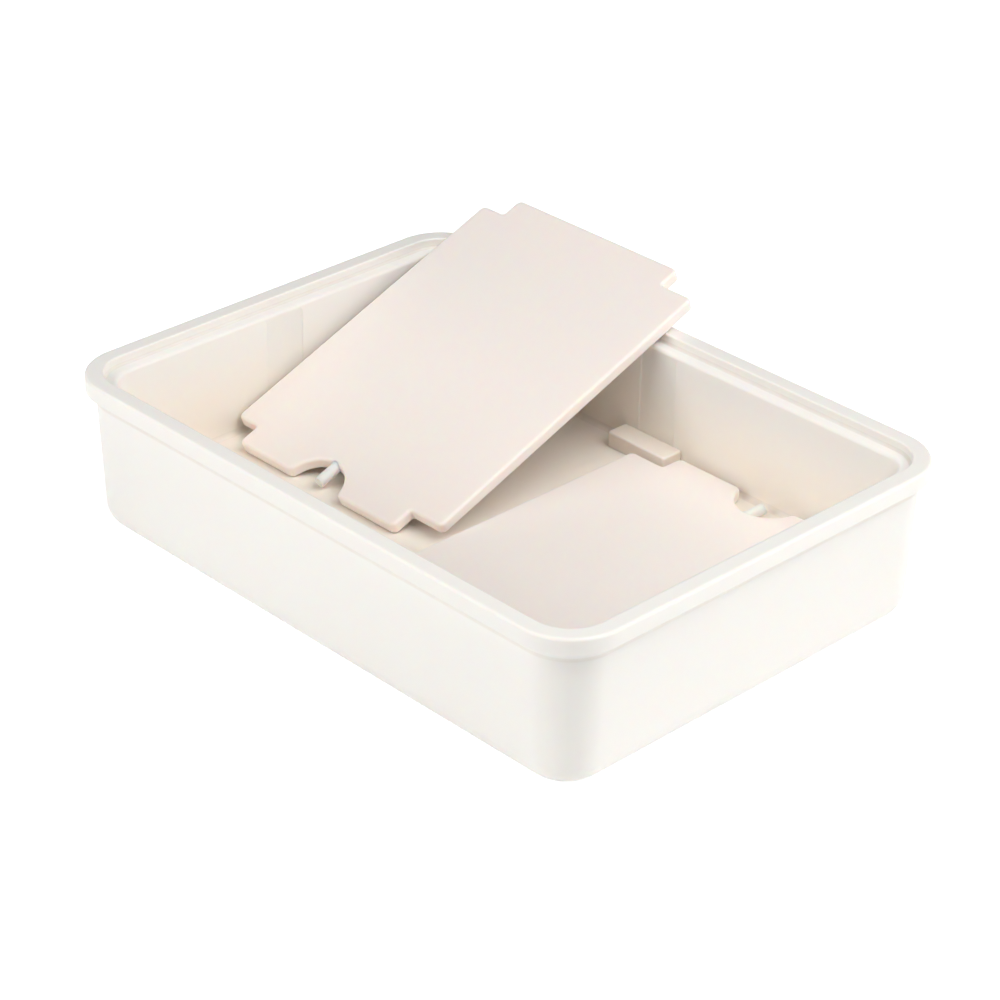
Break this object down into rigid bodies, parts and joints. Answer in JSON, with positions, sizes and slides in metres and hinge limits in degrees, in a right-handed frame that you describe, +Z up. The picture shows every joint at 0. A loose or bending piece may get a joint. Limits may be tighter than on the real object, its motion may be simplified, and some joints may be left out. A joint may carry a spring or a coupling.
{
  "type": "chilled serving box",
  "caption": "Open double-walled serving box with a stepped rim for a lid, kept cold by removable flat cold plates that lie on its floor.",
  "frame": {"origin": "centre of the flat underside of the box, the face it stands on", "axes": "+Z up, +X along the box, from the leaning plate's half to the seated plate's half; +Y towards the long wall that the leaning plate rests on"},
  "size_m": [0.48, 0.3794, 0.1391],
  "materials": {
    "box_plastic": "satin moulded, off-white",
    "plate_plastic": "fine moulded grain, warm cream",
    "plug_plastic": "satin moulded",
    "foam": "closed-cell foam, not visible",
    "cooling_gel": "gel, not visible"
  },
  "bodies": {
    "box": {"outer_shell": "box_plastic", "inner_liner": "box_plastic", "insulation_core": "foam"},
    "leaning_plate": {"leaning_plate_shell": "plate_plastic", "leaning_plate_gel": "cooling_gel", "leaning_plate_plug": "plug_plastic"},
    "seated_plate": {"seated_plate_shell": "plate_plastic", "seated_plate_gel": "cooling_gel", "seated_plate_plug": "plug_plastic"}
  },
  "joints": [
    {"name": "leaning_plate_lift", "type": "slide", "parent": "box", "child": "leaning_plate", "axis": [0, 0, 1], "range_m": [0, 0.1]},
    {"name": "seated_plate_lift", "type": "slide", "parent": "box", "child": "seated_plate", "axis": [0, 0, 1], "range_m": [0, 0.1]}
  ]
}
